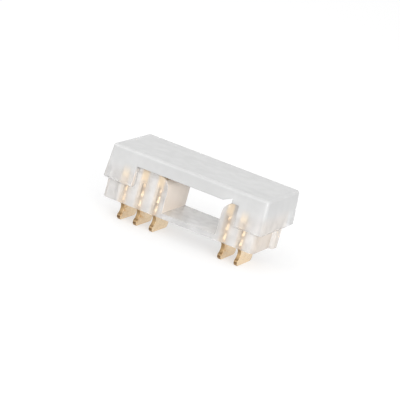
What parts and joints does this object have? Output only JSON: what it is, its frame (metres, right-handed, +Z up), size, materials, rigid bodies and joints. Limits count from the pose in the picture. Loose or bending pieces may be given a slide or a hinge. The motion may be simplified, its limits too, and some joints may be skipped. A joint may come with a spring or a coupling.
{
  "type": "led strip connector",
  "caption": "Clear board-and-cable connector for a light strip: a lift-off cover over a carrier with two contact blocks, a see-through window and gold piercing claws below.",
  "frame": {"origin": "middle of the footprint on the plane of the claws' soles", "axes": "+X along the row of contacts towards the two-contact block, -Y towards the front where the claw toes point, +Z up through the cover"},
  "size_m": [0.0204, 0.0098, 0.0087],
  "materials": {
    "cover_plastic": "clear, slightly milky moulded plastic",
    "carrier_plastic": "clear moulded plastic, a little warmer than the cover",
    "gold_plate": "stamped sheet with bright gold plating and darker cut edges"
  },
  "bodies": {
    "carrier": {"contact_carrier": "carrier_plastic", "contact_1": "gold_plate", "contact_2": "gold_plate", "contact_3": "gold_plate", "contact_4": "gold_plate", "contact_5": "gold_plate"},
    "cover": {"cover": "cover_plastic"}
  },
  "joints": [
    {"name": "cover_lift", "type": "slide", "parent": "carrier", "child": "cover", "axis": [0, 0, 1], "range_m": [0, 0.005]}
  ]
}
